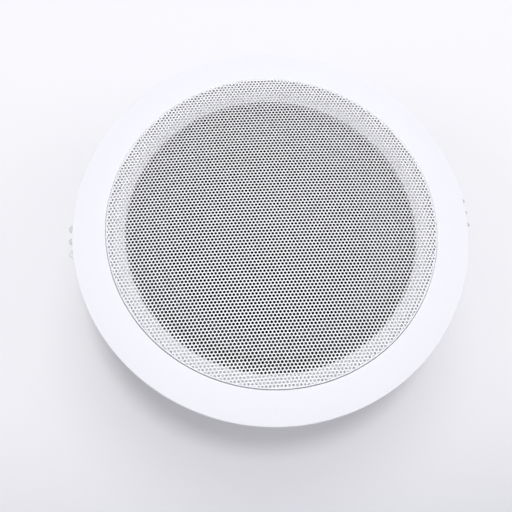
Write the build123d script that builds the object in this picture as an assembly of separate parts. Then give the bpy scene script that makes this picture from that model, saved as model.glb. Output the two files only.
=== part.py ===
from build123d import *
import os
from math import atan2, cos, hypot, pi, radians, sin, sqrt

# In-ceiling speaker, lying face up. All sizes are in millimetres.
# The origin is on the axis, in the plane where the rim meets the ceiling.
# +Z points out of the grille into the room and +X runs through the right spring clip.

# Bezel: rim, neck and inner ledge
rim_radius = 100.0
rim_edge_height = 2.6
rim_edge_round = 1.9
rim_edge_bevels = 2
lip_height = 3.9
rim_width = 13.5
neck_wall = 2.4
neck_depth = 13.5
grille_seat_width = 2.5
grille_seat_depth = 0.6
ledge_depth = 5.0
ledge_thickness = 4.5
ledge_width = 10.6
core_depth = 1.2
core_border = 2.4
core_rib_width = 1.6
core_rib_count = 12

# Grille: domed sheet with a turned-down edge
grille_gap = 0.5
grille_thickness = 0.7
grille_edge_height = 4.4
grille_dome_rise = 4.9
grille_edge_bevel = 1.0
grille_seat_gap = 0.1
hole_pitch = 14.0
hole_radius = 6.0
hole_margin = 1.5

# Driver frame
gasket_thickness = 1.5
basket_sheet = 1.2
basket_flange_gap = 3.6
basket_step_depth = 6.0
basket_leg_width = 14.0
basket_window_margin = 2.5
shelf_depth = 38.0
shelf_width = 10.5
cup_radius = 33.0
cup_depth = 7.8
basket_hole_radius = 17.0

# Moving parts of the driver
surround_inset = 3.5
surround_thickness = 0.8
surround_roll = 6.4
surround_lip = 4.0
surround_outer_lip = 4.5
surround_bends = 3
cone_thickness = 0.8
neck_height_above_shelf = 5.0
dust_cap_radius = 19.0
dust_cap_rise = 6.5
dust_cap_thickness = 0.6
dust_cap_bends = 3
glue_line = 0.05
former_inner_radius = 12.4
former_wall = 0.25
former_top_reach = 1.0
coil_wall = 0.55
coil_height = 10.0
spider_thickness = 0.5
spider_wave_count = 2
spider_wave_height = 1.6
spider_collar = 2.4
spider_cup_gap = 1.5

# Magnet system
pole_clearance = 0.4
gap_clearance = 0.4
top_plate_radius = 40.0
top_plate_thickness = 5.0
magnet_radius = 45.0
magnet_inner_radius = 22.0
magnet_thickness = 12.0
back_plate_radius = 40.0
back_plate_thickness = 4.5
pole_reach = 0.5

# Small fasteners and wires are drawn with flat sides
flat_sides = 8
wire_sides = 4

# Driver screws
screw_count = 4
screw_radius = 1.75
screw_head_radius = 3.2
screw_head_height = 2.2
screw_reach = 3.4
screw_edge = 3.3
screw_hole_clearance = 0.4
screw_tip_clearance = 0.3

# Spring clips
clip_pivot_depth = 31.0
clip_angle = 50.0
clip_half_width = 9.2
clip_sheet = 1.2
clip_gap = 2.6
tooth_overhang = 2.6
clip_tab_radius = 3.6
clip_tab_length = 16.0
clip_web_start = 5.5
tooth_count = 3
tooth_pitch = 6.6
tooth_tip_width = 1.4
tooth_depth = 3.4
pin_radius = 1.5
pin_clearance = 0.1
spring_wire_radius = 0.4
spring_coil_radius = 2.6
spring_pitch = 1.6
spring_turns = 4
spring_leg = 10.0
spring_touch_gap = 0.05

# Towers that carry the clips
tower_wall = 2.4
tower_gap = 4.5
tower_basket_gap = 1.4
ear_thickness = 3.0
ear_gap = 0.4
ear_radius = 4.6
tower_depth = 42.0
tower_foot_gap = 0.5
stop_gap = 0.3
stop_width = 2.0
stop_reach = 5.2
shelf_gap = 1.2

# Push terminal on the basket leg at +Y
terminal_width = 24.0
terminal_height = 16.0
terminal_depth = 9.5
terminal_base = 1.5
terminal_place = 0.5
button_spacing = 12.0
button_rise = -2.5
button_width = 7.0
button_height = 6.0
button_proud = 4.0
button_collar = 0.7
button_collar_height = 3.8
button_clearance = 0.2
chamber_roof = 2.0
button_spring_wire = 0.3
button_spring_radius = 2.2
button_spring_turns = 3
wire_hole_radius = 1.3
wire_hole_depth = 7.0
wire_hole_spacing = 13.6
wire_hole_rise = 5.0
tag_thickness = 0.8
tag_width = 4.0
tag_clearance = 0.1
tag_spacing = 16.8
tag_in_block = 5.0
tag_inside = 8.0
rivet_radius = 1.5
rivet_head_radius = 2.6
rivet_head_height = 0.9
rivet_clearance = 0.1
lead_radius = 0.7
lead_cone_radius = 30.0
lead_sag = 7.0
lead_bends = 5
lead_gap = 0.1

# Heights and radii that follow from the sizes above
neck_radius = rim_radius - rim_width
lip_radius = neck_radius - neck_wall
ledge_inner_radius = lip_radius - ledge_width
grille_radius = lip_radius - grille_gap
ledge_back = -ledge_depth - ledge_thickness
basket_front = ledge_back - gasket_thickness
basket_back = basket_front - basket_sheet
step_bottom = basket_front - basket_step_depth
shelf_top = -shelf_depth
shelf_radius = cup_radius + shelf_width
cup_floor = shelf_top - cup_depth
motor_top = cup_floor - basket_sheet
top_plate_bottom = motor_top - top_plate_thickness
magnet_bottom = top_plate_bottom - magnet_thickness
part_bottom = magnet_bottom - back_plate_thickness
former_radius = former_inner_radius + former_wall
coil_radius = former_radius + coil_wall
gap_middle = (motor_top + top_plate_bottom) / 2
coil_bottom = gap_middle - coil_height / 2
basket_flange_radius = lip_radius - basket_flange_gap
screw_circle_radius = basket_flange_radius - screw_edge
clip_turn = radians(clip_angle)
web_low = spring_coil_radius + spring_wire_radius + spring_touch_gap
web_high = web_low + clip_sheet
clip_reach = rim_radius + tooth_overhang
surround_outer_radius = ledge_inner_radius - surround_inset
tower_back = surround_outer_radius + basket_sheet + tower_basket_gap
tower_face = tower_back + tower_wall
clip_pivot_radius = tower_face + tower_gap
roll_radius = surround_outer_radius - surround_roll
cone_radius = roll_radius - surround_roll + surround_thickness
cone_edge_radius = cone_radius - surround_lip
neck_top = shelf_top + neck_height_above_shelf
cone_slope = (basket_front - neck_top) / (cone_edge_radius - former_radius)
cone_drop = cone_thickness * sqrt(1 + cone_slope ** 2)
ear_inner = clip_half_width + ear_gap
ear_outer = ear_inner + ear_thickness
tower_top = basket_back - shelf_gap
tower_shelf_bottom = tower_top - tower_wall
front_wall = basket_flange_radius + tower_foot_gap
leg_slope = atan2(step_bottom - shelf_top, surround_outer_radius - shelf_radius)


# Solid of revolution about the axis from a closed outline of (radius, height)
def turned(outline):
    return revolve(Plane.XZ * outline, Axis.Z)


def ring(outer_radius, inner_radius, bottom, top):
    section = Pos(inner_radius, bottom) * Rectangle(
        outer_radius - inner_radius, top - bottom, align=(Align.MIN, Align.MIN)
    )
    return turned(section)


# Outline of a bent sheet, with its thickness on the left of the points
def sheet_outline(points, thickness):
    front = [Vector(*point) for point in points]
    sides = [(b - a).normalized().rotate(Axis.Z, 90) for a, b in zip(front, front[1:])]
    before = sides[:1] + sides
    after = sides + sides[-1:]
    back = [
        point + (m + n) * (thickness / (1 + m.dot(n))) for point, m, n in zip(front, before, after)
    ]
    return make_face(Polyline(*front, *reversed(back), close=True))


def cylinder(radius, bottom, top):
    return Pos(0, 0, bottom) * Cylinder(
        radius, top - bottom, align=(Align.CENTER, Align.CENTER, Align.MIN)
    )


# Arc of a dome, from the axis out to a radius
def crown_arc(centre, sphere, reach):
    heights = [(r, centre + sqrt(sphere ** 2 - r ** 2)) for r in (0, reach / 2, reach)]
    return ThreePointArc(*heights)


# Round bar or hole drawn with flat sides
def flat_bar(radius, bottom, top):
    return Pos(0, 0, bottom) * extrude(RegularPolygon(radius, flat_sides), top - bottom)


# Wire bent along straight runs
def bent_wire(points, radius):
    path = Polyline(*points)
    section = Plane(path @ 0, z_dir=path % 0) * RegularPolygon(radius, wire_sides)
    return sweep(section, path, transition=Transition.RIGHT)


# Points of a coil about Z that starts on X, with flat_sides runs to a turn
def coil_points(radius, pitch, turns):
    runs = round(turns * flat_sides)
    steps = [n / flat_sides for n in range(runs + 1)]
    return [Vector(radius * cos(2 * pi * n), radius * sin(2 * pi * n), pitch * n) for n in steps]


# Places of the driver screws, on the diagonals
def screw_places():
    return [
        Pos(screw_circle_radius * cos(angle), screw_circle_radius * sin(angle), 0)
        for angle in [2 * pi * (n + 0.5) / screw_count for n in range(screw_count)]
    ]


# Point of a clip arm: along is measured from the pivot to the teeth, above towards the ceiling
def arm_point(along, above):
    return (
        clip_pivot_radius + along * cos(clip_turn) - above * sin(clip_turn),
        -clip_pivot_depth + along * sin(clip_turn) + above * cos(clip_turn),
    )


# Point where an arm line at a given height above the pivot reaches a level
def arm_at_level(above, level):
    along = (level + clip_pivot_depth - above * cos(clip_turn)) / sin(clip_turn)
    return arm_point(along, above)


def bezel_section():
    corner = (rim_radius - rim_edge_round, rim_edge_height - rim_edge_round)
    turns = [n * pi / 2 / rim_edge_bevels for n in range(rim_edge_bevels + 1)]
    rim_corner = [
        (corner[0] + rim_edge_round * cos(turn), corner[1] + rim_edge_round * sin(turn)) for turn in turns
    ]
    outline = [
        (rim_radius, 0),
        *rim_corner,
        (lip_radius, lip_height),
        (lip_radius, -grille_seat_depth),
        (lip_radius - grille_seat_width, -grille_seat_depth),
        (lip_radius - grille_seat_width, -ledge_depth),
        (ledge_inner_radius, -ledge_depth),
        (ledge_inner_radius, ledge_back),
        (lip_radius, ledge_back),
        (lip_radius, -neck_depth),
        (neck_radius, -neck_depth),
        (neck_radius, 0),
    ]
    return make_face(Polyline(*outline, close=True))


# Shallow pockets behind the rim, between moulded ribs
def rim_pockets():
    outer = rim_radius - core_border
    inner = neck_radius + core_border
    ribs = PolarLocations((outer + inner) / 2, core_rib_count) * Rectangle(outer, core_rib_width)
    return extrude(Circle(outer) - Circle(inner) - ribs, core_depth)


# Tower behind the ledge with two ears for the hinge pin of the right clip
def clip_tower():
    pivot = Pos(clip_pivot_radius, -clip_pivot_depth)
    top_width = front_wall - tower_back
    ear_top = Pos(tower_back, tower_shelf_bottom) * Rectangle(
        top_width, tower_wall, align=(Align.MIN, Align.MIN)
    )
    ear = make_hull((pivot * RegularPolygon(ear_radius, flat_sides)).edges() + ear_top.edges())
    ears = [
        Pos(0, side * (ear_inner + ear_thickness / 2), 0)
        * extrude(Plane.XZ * ear, ear_thickness / 2, both=True)
        for side in (-1, 1)
    ]
    back = Pos(tower_back, 0, -tower_depth) * Box(
        tower_wall,
        2 * ear_outer,
        tower_depth + tower_top,
        align=(Align.MIN, Align.CENTER, Align.MIN),
    )
    stop_place = clip_pivot_radius + stop_reach
    lid_reach = lip_radius + neck_wall / 4
    lid = Pos(tower_back, 0, tower_shelf_bottom) * Box(
        lid_reach - tower_back,
        2 * ear_outer,
        tower_wall,
        align=(Align.MIN, Align.CENTER, Align.MIN),
    )
    front = Pos(front_wall, 0, tower_shelf_bottom) * Box(
        lid_reach - front_wall,
        2 * ear_outer,
        ledge_back - tower_shelf_bottom + ledge_thickness / 4,
        align=(Align.MIN, Align.CENTER, Align.MIN),
    )
    stop_bottom = (web_high + stop_gap + stop_reach * sin(clip_turn)) / cos(clip_turn) - clip_pivot_depth
    stop = Pos(stop_place, 0, stop_bottom) * Box(
        stop_width,
        2 * ear_outer,
        tower_shelf_bottom - stop_bottom,
        align=(Align.MAX, Align.CENTER, Align.MIN),
    )
    pin_hole = Pos(clip_pivot_radius, 0, -clip_pivot_depth) * Rot(90, 0, 0) * Cylinder(
        pin_radius, 3 * ear_outer
    )
    return back + lid + front + stop + ears - pin_hole


def bezel():
    body = turned(bezel_section()) - rim_pockets()
    tower = clip_tower()
    body += [tower, Rot(0, 0, 180) * tower]
    pilot = flat_bar(screw_radius, ledge_back, ledge_back + screw_reach + screw_tip_clearance)
    return body - [place * pilot for place in screw_places()]


# Places of the grille holes: a hexagonal pattern with rows along X
def hole_places():
    edge = grille_radius - grille_edge_bevel - hole_margin - hole_radius
    rows = int(edge / hole_pitch / sqrt(0.75)) + 1
    return [
        (x, y)
        for row in range(-rows, rows + 1)
        for column in range(-2 * rows, 2 * rows + 1)
        for x, y in [((column + row % 2 / 2) * hole_pitch, row * hole_pitch * sqrt(0.75))]
        if hypot(x, y) <= edge
    ]


def grille():
    skirt_bottom = -grille_seat_depth + grille_seat_gap
    inner_radius = grille_radius - grille_thickness
    sphere = (grille_radius ** 2 + grille_dome_rise ** 2) / (2 * grille_dome_rise)
    centre = grille_edge_height + grille_dome_rise - sphere
    outer_crown = crown_arc(centre, sphere, grille_radius - grille_edge_bevel)
    inner_crown = crown_arc(centre, sphere - grille_thickness, inner_radius)
    skirt = Polyline(
        outer_crown @ 1,
        outer_crown @ 1 + Vector(grille_edge_bevel, -grille_edge_bevel),
        (grille_radius, skirt_bottom),
        (inner_radius, skirt_bottom),
        inner_crown @ 1,
    )
    middle = Line(inner_crown @ 0, outer_crown @ 0)
    outline = make_face([outer_crown, skirt, inner_crown, middle])
    holes = [
        Pos(x, y, 0) * extrude(RegularPolygon(hole_radius, 6, rotation=30), 2 * lip_radius)
        for x, y in hole_places()
    ]
    return turned(outline) - holes


def gasket():
    inner = surround_outer_radius + surround_outer_lip + screw_hole_clearance
    body = ring(basket_flange_radius, inner, basket_front, ledge_back)
    hole = flat_bar(screw_radius + screw_hole_clearance, basket_front, ledge_back)
    return body - [place * hole for place in screw_places()]


# Frame of the terminal: x along the block, z away from the basket leg
def terminal_frame():
    low = Vector(shelf_radius, shelf_top)
    high = Vector(surround_outer_radius, step_bottom)
    middle = low + (high - low) * terminal_place
    reach = middle.X + basket_sheet * sin(leg_slope)
    level = middle.Y - basket_sheet * cos(leg_slope)
    return Plane((0, reach, level), x_dir=(1, 0, 0), z_dir=(0, sin(leg_slope), -cos(leg_slope)))


def rivet_place():
    return Pos(0, wire_hole_rise, 0)


# Pressed steel frame: flange, four legs, spider shelf and cup
def basket():
    front = [
        (basket_flange_radius, basket_front),
        (surround_outer_radius, basket_front),
        (surround_outer_radius, step_bottom),
        (shelf_radius, shelf_top),
        (cup_radius, shelf_top),
        (cup_radius, cup_floor),
        (basket_hole_radius, cup_floor),
    ]
    body = turned(sheet_outline(front, basket_sheet))
    outer = surround_outer_radius - basket_window_margin
    inner = shelf_radius + basket_window_margin
    legs = [Rectangle(2 * rim_radius, basket_leg_width), Rectangle(basket_leg_width, 2 * rim_radius)]
    windows = Circle(outer) - Circle(inner) - legs
    window_depth = step_bottom - shelf_top + 2 * basket_sheet
    body -= Pos(0, 0, shelf_top - 2 * basket_sheet) * extrude(windows, window_depth)
    hole = flat_bar(screw_radius + screw_hole_clearance, basket_back, basket_front)
    body -= [place * hole for place in screw_places()]
    rivet_hole = flat_bar(rivet_radius + rivet_clearance, -2 * basket_sheet, 2 * basket_sheet)
    return body - terminal_frame() * rivet_place() * rivet_hole


# Half-roll edge of the cone, lying on the basket flange
def surround():
    under_roll = surround_roll - surround_thickness
    turns = [pi - n * pi / surround_bends for n in range(surround_bends + 1)]
    roll = [
        (roll_radius + under_roll * cos(turn), basket_front + under_roll * sin(turn)) for turn in turns
    ]
    inner_end = (cone_edge_radius, basket_front)
    outer_end = (surround_outer_radius + surround_outer_lip - surround_thickness, basket_front)
    return turned(sheet_outline([inner_end, *roll, outer_end], surround_thickness))


def cone_front(radius):
    return neck_top + (radius - former_radius) * cone_slope


def cone():
    back_turn = former_radius + (basket_front - cone_thickness - neck_top + cone_drop) / cone_slope
    outline = Polyline(
        (former_radius, neck_top),
        (cone_edge_radius, basket_front),
        (cone_radius, basket_front),
        (cone_radius, basket_front - cone_thickness),
        (back_turn, basket_front - cone_thickness),
        (former_radius, neck_top - cone_drop),
        close=True,
    )
    return turned(make_face(outline))


def dust_cap():
    base = cone_front(dust_cap_radius) + glue_line

    def crown(radius, rise):
        shares = [n / dust_cap_bends for n in range(dust_cap_bends, 0, -1)]
        full = rise / (1 - shares[-1] ** 2)
        return [(radius * share, base + full * (1 - share ** 2)) for share in shares] + [(0, base + rise)]

    outer = crown(dust_cap_radius, dust_cap_rise)
    inner = crown(dust_cap_radius - dust_cap_thickness, dust_cap_rise - dust_cap_thickness)
    return turned(make_face(Polyline(*outer, *reversed(inner), close=True)))


def voice_coil_former():
    return ring(former_radius, former_inner_radius, coil_bottom, neck_top + former_top_reach)


def voice_coil():
    return ring(coil_radius, former_radius, coil_bottom, coil_bottom + coil_height)


# Corrugated disc that centres the coil, lying on the basket shelf
def spider():
    start = former_radius + spider_collar
    end = cup_radius - spider_cup_gap
    span = (end - start) / spider_wave_count
    waves = [
        (start + (wave + 0.5) * span, shelf_top + spider_wave_height * (-1) ** wave)
        for wave in range(spider_wave_count)
    ]
    flat_ends = [(former_radius, shelf_top), (start, shelf_top)]
    rim = [(end, shelf_top), (shelf_radius - spider_thickness, shelf_top)]
    return turned(sheet_outline([*flat_ends, *waves, *rim], spider_thickness))


def top_plate():
    return ring(top_plate_radius, coil_radius + gap_clearance, top_plate_bottom, motor_top)


def magnet():
    return ring(magnet_radius, magnet_inner_radius, magnet_bottom, top_plate_bottom)


# Back plate and pole in one turned piece
def yoke():
    pole = former_inner_radius - pole_clearance
    plate = cylinder(back_plate_radius, part_bottom, magnet_bottom)
    return plate + cylinder(pole, magnet_bottom, motor_top + pole_reach)


def driver_screws():
    shank = flat_bar(screw_radius, basket_back, ledge_back + screw_reach)
    head = flat_bar(screw_head_radius, basket_back - screw_head_height, basket_back)
    return [place * (shank + head) for place in screw_places()]


# Stamped arm with two hinge tabs and three teeth, at rest just behind the rim
def clip_arm():
    tip_low = -clip_gap - clip_sheet
    web = make_face(
        Polyline(
            arm_point(clip_web_start, web_low),
            arm_at_level(web_low, tip_low),
            (clip_reach, tip_low),
            (clip_reach, -clip_gap),
            arm_at_level(web_high, -clip_gap),
            arm_point(clip_web_start, web_high),
            close=True,
        )
    )
    body = extrude(Plane.XZ * web, clip_half_width, both=True)
    tab_edge = Line(arm_point(clip_web_start, web_high), arm_point(clip_tab_length, web_high))
    tab_end = Pos(clip_pivot_radius, -clip_pivot_depth) * RegularPolygon(clip_tab_radius, flat_sides)
    tab = make_hull(tab_end.edges() + tab_edge.edges())
    tab -= Pos(clip_pivot_radius, -clip_pivot_depth) * Circle(pin_radius + pin_clearance)
    tab_middle = clip_half_width - clip_sheet / 2
    body += [
        Pos(0, side * tab_middle, 0) * extrude(Plane.XZ * tab, clip_sheet / 2, both=True)
        for side in (-1, 1)
    ]
    half_notch = (tooth_pitch - tooth_tip_width) / 2
    root = (clip_reach - tooth_depth, 0)
    notch = make_face(Polyline(root, (clip_reach, -half_notch), (clip_reach, half_notch), close=True))
    notches = [
        Pos(0, (n - tooth_count / 2) * tooth_pitch, tip_low) * extrude(notch, clip_sheet)
        for n in range(tooth_count + 1)
    ]
    return body - notches


def hinge_pin():
    pin = Cylinder(pin_radius, 2 * ear_outer)
    return Pos(clip_pivot_radius, 0, -clip_pivot_depth) * Rot(90, 0, 0) * pin


# Coil on the hinge pin: one leg presses the arm out, the other rests on the tower
def torsion_spring():
    coil = coil_points(spring_coil_radius, spring_pitch, spring_turns)
    rise = coil[-1].Z
    arm_side = radians(90 - clip_angle)
    arm_touch = Vector(spring_coil_radius * cos(arm_side), spring_coil_radius * sin(arm_side), rise)
    arm_end = arm_touch + Vector(-sin(arm_side), cos(arm_side)) * spring_leg
    tower_end = coil[0] - Vector(0, spring_leg)
    axis = Plane((clip_pivot_radius, -rise / 2, -clip_pivot_depth), x_dir=(-1, 0, 0), z_dir=(0, 1, 0))
    return axis * bent_wire([tower_end, *coil, arm_touch, arm_end], spring_wire_radius)


# Places of the left and right push buttons on the terminal
def button_places():
    return [Pos(side * button_spacing / 2, button_rise, 0) for side in (-1, 1)]


def terminal_top():
    return terminal_base + terminal_depth


def chamber_top():
    return terminal_top() - chamber_roof


def tag_places(bottom):
    return [Pos(side * tag_spacing / 2, wire_hole_rise, bottom) for side in (-1, 1)]


def upright_box(width, height, bottom, top):
    return Pos(0, 0, bottom) * Box(
        width, height, top - bottom, align=(Align.CENTER, Align.CENTER, Align.MIN)
    )


def terminal_block():
    body = upright_box(terminal_width, terminal_height, terminal_base, terminal_top())
    loose = 2 * button_clearance
    collar = 2 * button_collar
    chamber = upright_box(
        button_width + collar + loose, button_height + collar + loose, terminal_base, chamber_top()
    )
    mouth = upright_box(button_width + loose, button_height + loose, chamber_top(), terminal_top())
    body -= [place * (chamber + mouth) for place in button_places()]
    wire_hole = flat_bar(wire_hole_radius, terminal_top() - wire_hole_depth, terminal_top())
    body -= [Pos(side * wire_hole_spacing / 2, wire_hole_rise, 0) * wire_hole for side in (-1, 1)]
    slot = upright_box(
        tag_thickness + 2 * tag_clearance,
        tag_width + 2 * tag_clearance,
        0,
        tag_in_block + tag_clearance,
    )
    body -= [place * slot for place in tag_places(terminal_base)]
    body -= rivet_place() * flat_bar(rivet_radius + rivet_clearance, terminal_base, terminal_top())
    return terminal_frame() * body


def terminal_plate():
    body = upright_box(terminal_width, terminal_height, 0, terminal_base)
    slot = upright_box(
        tag_thickness + 2 * tag_clearance, tag_width + 2 * tag_clearance, 0, terminal_base
    )
    body -= [place * slot for place in tag_places(0)]
    body -= rivet_place() * flat_bar(rivet_radius + rivet_clearance, 0, terminal_base)
    return terminal_frame() * body


def collar_bottom():
    return chamber_top() - button_clearance - button_collar_height


def push_button(place):
    collar_top = chamber_top() - button_clearance
    collar = upright_box(
        button_width + 2 * button_collar,
        button_height + 2 * button_collar,
        collar_bottom(),
        collar_top,
    )
    stem = upright_box(button_width, button_height, collar_top, terminal_top() + button_proud)
    return terminal_frame() * place * (collar + stem)


def button_spring(place):
    room = collar_bottom() - terminal_base - 2 * spring_touch_gap - 2 * button_spring_wire
    coil = coil_points(button_spring_radius, room / button_spring_turns, button_spring_turns)
    bottom = terminal_base + spring_touch_gap + button_spring_wire
    return terminal_frame() * place * Pos(0, 0, bottom) * bent_wire(coil, button_spring_wire)


def contact_tags():
    tag = upright_box(tag_thickness, tag_width, -tag_inside, terminal_base + tag_in_block)
    return [terminal_frame() * place * tag for place in tag_places(0)]


def terminal_rivet():
    inside = -basket_sheet - rivet_clearance
    shank = flat_bar(rivet_radius, inside - rivet_head_height, terminal_top() + rivet_head_height)
    head = flat_bar(rivet_head_radius, terminal_top(), terminal_top() + rivet_head_height)
    tail = flat_bar(rivet_head_radius, inside - rivet_head_height, inside)
    return terminal_frame() * rivet_place() * (shank + head + tail)


# Flexible leads that hang in an arc from the tags to the back of the cone
def tinsel_leads():
    leads = []
    for side in (-1, 1):
        spread = side * tag_spacing / 2
        joint = wire_hole_rise + tag_width / 2 + lead_radius + lead_gap
        start = (terminal_frame() * Pos(spread, joint, lead_radius - tag_inside)).position
        reach = sqrt(lead_cone_radius ** 2 - spread ** 2)
        end = Vector(spread, reach, cone_front(lead_cone_radius) - cone_drop - lead_radius - lead_gap)
        middle = (start + end) / 2 - Vector(0, 0, lead_sag)
        arc = ThreePointArc(start, middle, end)
        leads.append(bent_wire([arc @ (n / lead_bends) for n in range(lead_bends + 1)], lead_radius))
    return leads


half_turn = Rot(0, 0, 180)
red_place, black_place = button_places()
nodes = {
    "bezel": bezel(),
    "grille": grille(),
    "gasket": gasket(),
    "basket": basket(),
    "surround": surround(),
    "cone": cone(),
    "dust_cap": dust_cap(),
    "voice_coil_former": voice_coil_former(),
    "voice_coil": voice_coil(),
    "spider": spider(),
    "top_plate": top_plate(),
    "magnet": magnet(),
    "yoke": yoke(),
    "driver_screws": driver_screws(),
    "right_clip_arm": clip_arm(),
    "left_clip_arm": half_turn * clip_arm(),
    "right_hinge_pin": hinge_pin(),
    "left_hinge_pin": half_turn * hinge_pin(),
    "right_torsion_spring": torsion_spring(),
    "left_torsion_spring": half_turn * torsion_spring(),
    "terminal_block": terminal_block(),
    "terminal_plate": terminal_plate(),
    "red_push_button": push_button(red_place),
    "black_push_button": push_button(black_place),
    "red_button_spring": button_spring(red_place),
    "black_button_spring": button_spring(black_place),
    "contact_tags": contact_tags(),
    "terminal_rivet": terminal_rivet(),
    "tinsel_leads": tinsel_leads(),
}

os.makedirs("parts", exist_ok=True)
for name, shape in nodes.items():
    solids = Compound(children=shape) if isinstance(shape, list) else shape
    export_step(solids, f"parts/{name}.step")
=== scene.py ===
from math import asin, atan2, cos, hypot, pi, radians, sin, sqrt, tan
import bmesh
import bpy
from mathutils import Matrix, Quaternion, Vector


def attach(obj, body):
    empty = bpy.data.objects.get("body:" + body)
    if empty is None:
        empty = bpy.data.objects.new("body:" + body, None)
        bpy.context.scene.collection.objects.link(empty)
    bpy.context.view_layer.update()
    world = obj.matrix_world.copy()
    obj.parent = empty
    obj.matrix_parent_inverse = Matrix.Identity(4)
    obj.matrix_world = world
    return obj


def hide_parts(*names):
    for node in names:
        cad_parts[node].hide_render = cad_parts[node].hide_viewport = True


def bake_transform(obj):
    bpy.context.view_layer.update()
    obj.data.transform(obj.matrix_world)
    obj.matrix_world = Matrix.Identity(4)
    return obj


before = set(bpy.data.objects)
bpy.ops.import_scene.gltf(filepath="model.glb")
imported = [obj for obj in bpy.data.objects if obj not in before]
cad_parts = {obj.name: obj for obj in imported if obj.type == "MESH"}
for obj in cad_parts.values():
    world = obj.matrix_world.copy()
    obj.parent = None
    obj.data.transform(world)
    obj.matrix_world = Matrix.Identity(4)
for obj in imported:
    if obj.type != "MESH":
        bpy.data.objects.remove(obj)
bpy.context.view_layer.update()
scene = bpy.context.scene
mm = 0.001
weldGap = 1e-4  # mm, points nearer than this become one
arcShare = 0.49  # longest part of a side that a rounded corner may take
print("frame loaded with", len(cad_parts), "solids")


# a socket that takes part in sums
class Wire:
    def __init__(self, finish, socket):
        self.finish, self.socket = finish, socket

    def mathNode(self, operation, *terms):
        return self.finish.add("ShaderNodeMath", {"operation": operation}, dict(enumerate(terms)))

    def __add__(self, other):
        return self.mathNode("ADD", self, other)

    __radd__ = __add__

    def __sub__(self, other):
        return self.mathNode("SUBTRACT", self, other)

    def __rsub__(self, other):
        return self.mathNode("SUBTRACT", other, self)

    def __mul__(self, other):
        return self.mathNode("MULTIPLY", self, other)

    __rmul__ = __mul__


# node tree of one finish
class Finish:
    def __init__(self, name, tree=None):
        self.material = None
        if tree is None:
            self.material = bpy.data.materials.new(name)
            self.material.use_nodes = True
            tree = self.material.node_tree
        self.tree = tree
        self.tree.nodes.clear()

    def add(self, kind, settings=None, sockets=None, out=0):
        node = self.tree.nodes.new(kind)
        for key, value in (settings or {}).items():
            setattr(node, key, value)
        for key, value in (sockets or {}).items():
            if isinstance(value, Wire):
                self.tree.links.new(value.socket, node.inputs[key])
            else:
                node.inputs[key].default_value = value
        return Wire(self, node.outputs[out]) if node.outputs else None

    def spot(self, source="Object"):
        return self.add("ShaderNodeTexCoord", out=source)

    def stretched(self, scale):
        return self.add("ShaderNodeVectorMath", {"operation": "MULTIPLY"}, {0: self.spot(), 1: scale})

    def noise(self, size, detail=3.0, rough=0.5, spot=None):
        return self.add("ShaderNodeTexNoise", None, {
            "Vector": spot or self.spot(), "Scale": 1 / (size * mm), "Detail": detail, "Roughness": rough,
        })

    def cells(self, size):
        return self.add("ShaderNodeTexVoronoi", None, {"Vector": self.spot(), "Scale": 1 / (size * mm)})

    def axis(self, name, source="Object"):
        return self.add("ShaderNodeSeparateXYZ", None, {0: self.spot(source)}, out=name)

    def fromAxis(self):
        flat = self.stretched((1.0, 1.0, 0.0))
        return self.add("ShaderNodeVectorMath", {"operation": "LENGTH"}, {0: flat}, out="Value")

    def waves(self, value, pitch):
        return value.mathNode("SINE", value * (2 * pi / (pitch * mm)))

    # 0 below low, 1 above high, soft between
    def clear(self, value, low, high):
        sockets = {"Value": value, "From Min": low, "From Max": high}
        return self.add("ShaderNodeMapRange", {"interpolation_type": "SMOOTHSTEP"}, sockets)

    # a Mix node keeps its colours in sockets 6 and 7 and gives them out at 2
    def mix(self, share, first, second):
        low, high = ((*colour, 1.0) if isinstance(colour, tuple) else colour for colour in (first, second))
        return self.add("ShaderNodeMix", {"data_type": "RGBA"}, {0: share, 6: low, 7: high}, out=2)

    def bump(self, height, depth):
        return self.add("ShaderNodeBump", None, {"Height": height, "Distance": depth * mm})

    def close(self, colour, rough, normal=None, **constants):
        sockets = {"Base Color": colour, "Roughness": rough}
        if normal:
            sockets["Normal"] = normal
        sockets.update({key.replace("_", " "): value for key, value in constants.items()})
        shader = self.add("ShaderNodeBsdfPrincipled", None, sockets)
        self.add("ShaderNodeOutputMaterial", None, {"Surface": shader})
        return self.material


# satin moulded plastic with a fine spark texture
def mouldedPlastic(name, pale, dark, rough, grain=0.35, depth=0.012):
    f = Finish(name)
    cloud = f.noise(38, 2)
    speck = f.noise(grain, 2, 0.6)
    colour = f.mix(cloud, dark, pale)
    sheen = rough - 0.05 + 0.1 * speck
    return f.close(colour, sheen, f.bump(speck, depth), IOR=1.46, Specular_IOR_Level=0.35)


# powder coat: orange peel over sheet steel
def powderCoat(name, pale, dark, rough, peel=0.9, depth=0.02):
    f = Finish(name)
    skin = f.noise(peel, 2, 0.4)
    fine = f.noise(0.18, 1)
    colour = f.mix(f.noise(26, 2), dark, pale)
    return f.close(colour, rough + 0.1 * (skin - 0.5), f.bump(skin + 0.3 * fine, depth))


# sheet coated on its face and in its holes, bare on the back
def punchedSheet(name, pale, dark, bare, rough, peel=0.9, depth=0.02):
    f = Finish(name)
    skin = f.noise(peel, 2, 0.4)
    face = f.clear(f.axis("Z", "Normal"), -0.6, -0.3)
    coat = f.mix(f.noise(26, 2), dark, pale)
    metal = f.mix(f.noise(3, 3), bare, tuple(0.8 * level for level in bare))
    return f.close(f.mix(face, metal, coat), rough + 0.1 * (skin - 0.5), f.bump(skin, depth))


def foamSheet(name, pale, dark):
    f = Finish(name)
    cell = f.cells(0.55)
    colour = f.mix(f.clear(cell, 0.15, 0.7), dark, pale)
    return f.close(colour, 0.92 - 0.08 * cell, f.bump(cell, 0.12), Specular_IOR_Level=0.15)


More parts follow.
